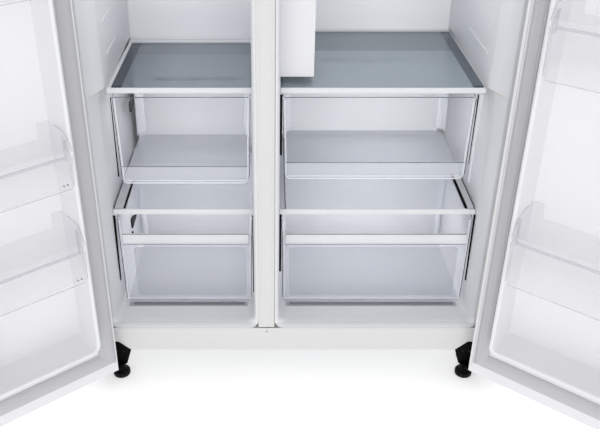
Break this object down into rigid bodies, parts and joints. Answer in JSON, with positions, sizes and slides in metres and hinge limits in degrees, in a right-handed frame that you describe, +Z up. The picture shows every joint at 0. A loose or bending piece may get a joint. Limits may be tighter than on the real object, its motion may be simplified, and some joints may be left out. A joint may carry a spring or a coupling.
{
  "type": "side by side refrigerator",
  "caption": "Side by side refrigerator with two hinged doors standing open, glass shelves, clear pull-out drawers and door bins.",
  "frame": {"origin": "middle of the open refrigerator's footprint, on the floor under it", "axes": "+Z up, -Y towards the person at the doors, +X to that person's right"},
  "size_m": [1.5686, 1.0347, 1.79],
  "materials": {
    "white_paint": "smooth semi-gloss white paint",
    "grey_sheet": "plain grey coated sheet",
    "black_paint": "satin black paint",
    "bare_steel": "zinc plated steel",
    "copper": "bare copper tube and fins",
    "bare_aluminium": "mill finish aluminium",
    "liner_plastic": "vacuum-formed glossy white plastic",
    "door_liner_plastic": "formed glossy white plastic over a foam core",
    "white_plastic": "moulded white plastic, slight gloss",
    "clear_plastic": "clear moulded plastic with a faint blue-grey tint",
    "shelf_glass": "tempered glass, grey-green tint",
    "gasket_rubber": "matte light grey soft vinyl",
    "black_plastic": "matte black plastic",
    "foam": "rigid foam, cream",
    "lamp_plastic": "frosted white plastic"
  },
  "bodies": {
    "cabinet": {"air_duct_box": "white_plastic", "back_panel": "grey_sheet", "base_frame": "bare_steel", "bottom_hinge_left": "black_paint", "bottom_hinge_right": "black_paint", "cabinet_insulation": "foam", "cabinet_shell": "white_paint", "compressor": "black_paint", "condenser_coil": "copper", "evaporator": "bare_aluminium", "freezer_duct_panel": "white_plastic", "freezer_liner": "liner_plastic", "freezer_lower_shelf_frame": "white_plastic", "freezer_lower_shelf_glass": "shelf_glass", "freezer_top_shelf": "shelf_glass", "freezer_upper_shelf_frame": "white_plastic", "freezer_upper_shelf_glass": "shelf_glass", "fridge_duct_panel": "white_plastic", "fridge_lamp": "lamp_plastic", "fridge_liner": "liner_plastic", "fridge_lower_shelf_frame": "white_plastic", "fridge_lower_shelf_glass": "shelf_glass", "fridge_top_shelf": "shelf_glass", "fridge_upper_shelf_frame": "white_plastic", "fridge_upper_shelf_glass": "shelf_glass", "front_rail": "white_paint", "mullion_cover": "white_paint", "power_inlet": "black_plastic", "rear_grille": "grey_sheet", "top_hinge_cover_left": "white_plastic", "top_hinge_cover_right": "white_plastic", "top_hinge_left": "bare_steel", "top_hinge_right": "bare_steel"},
    "left_door": {"left_door_bottom_cap": "white_plastic", "left_door_gasket": "gasket_rubber", "left_door_grip": "white_plastic", "left_door_liner": "door_liner_plastic", "left_door_lower_bin": "clear_plastic", "left_door_middle_bin": "clear_plastic", "left_door_skin": "white_paint", "left_door_top_cap": "white_plastic", "left_door_upper_bin": "clear_plastic"},
    "right_door": {"right_door_bottom_cap": "white_plastic", "right_door_gasket": "gasket_rubber", "right_door_grip": "white_plastic", "right_door_liner": "door_liner_plastic", "right_door_lower_bin": "clear_plastic", "right_door_middle_bin": "clear_plastic", "right_door_skin": "white_paint", "right_door_top_cap": "white_plastic"},
    "freezer_upper_drawer_body": {"freezer_upper_drawer": "clear_plastic"},
    "freezer_lower_drawer_body": {"freezer_lower_drawer": "clear_plastic"},
    "fridge_upper_drawer_body": {"fridge_upper_drawer": "clear_plastic"},
    "fridge_lower_drawer_body": {"fridge_lower_drawer": "clear_plastic"},
    "condenser_fan_body": {"condenser_fan": "black_plastic"},
    "evaporator_fan_body": {"evaporator_fan": "white_plastic"},
    "levelling_foot_left_body": {"levelling_foot_left": "black_plastic"},
    "levelling_foot_right_body": {"levelling_foot_right": "black_plastic"},
    "rear_roller_left_body": {"rear_roller_left": "black_plastic"},
    "rear_roller_right_body": {"rear_roller_right": "black_plastic"}
  },
  "joints": [
    {"name": "left_door_hinge", "type": "hinge", "parent": "cabinet", "child": "left_door", "pos_m": [-0.486, -0.1712, 0.9], "axis": [0, 0, -1], "range_deg": [-141, 0]},
    {"name": "right_door_hinge", "type": "hinge", "parent": "cabinet", "child": "right_door", "pos_m": [0.3896, -0.1712, 0.9], "axis": [0, 0, 1], "range_deg": [-141, 0]},
    {"name": "freezer_upper_drawer_slide", "type": "slide", "parent": "cabinet", "child": "freezer_upper_drawer_body", "axis": [0, -1, 0], "range_m": [0, 0.26]},
    {"name": "freezer_lower_drawer_slide", "type": "slide", "parent": "cabinet", "child": "freezer_lower_drawer_body", "axis": [0, -1, 0], "range_m": [0, 0.26]},
    {"name": "fridge_upper_drawer_slide", "type": "slide", "parent": "cabinet", "child": "fridge_upper_drawer_body", "axis": [0, -1, 0], "range_m": [0, 0.26]},
    {"name": "fridge_lower_drawer_slide", "type": "slide", "parent": "cabinet", "child": "fridge_lower_drawer_body", "axis": [0, -1, 0], "range_m": [0, 0.26]},
    {"name": "condenser_fan_spin", "type": "hinge", "parent": "cabinet", "child": "condenser_fan_body", "pos_m": [-0.1232, 0.4096, 0.205], "axis": [1, 0, 0], "continuous": true},
    {"name": "evaporator_fan_spin", "type": "hinge", "parent": "cabinet", "child": "evaporator_fan_body", "pos_m": [-0.2892, 0.3166, 0.745], "axis": [0, 1, 0], "continuous": true},
    {"name": "rear_roller_left_spin", "type": "hinge", "parent": "cabinet", "child": "rear_roller_left_body", "pos_m": [-0.4532, 0.4496, 0.02], "axis": [1, 0, 0], "continuous": true},
    {"name": "levelling_foot_left_screw", "type": "slide", "parent": "cabinet", "child": "levelling_foot_left_body", "axis": [0, 0, -1], "range_m": [0, 0.015]},
    {"name": "rear_roller_right_spin", "type": "hinge", "parent": "cabinet", "child": "rear_roller_right_body", "pos_m": [0.3568, 0.4496, 0.02], "axis": [1, 0, 0], "continuous": true},
    {"name": "levelling_foot_right_screw", "type": "slide", "parent": "cabinet", "child": "levelling_foot_right_body", "axis": [0, 0, -1], "range_m": [0, 0.015]}
  ]
}
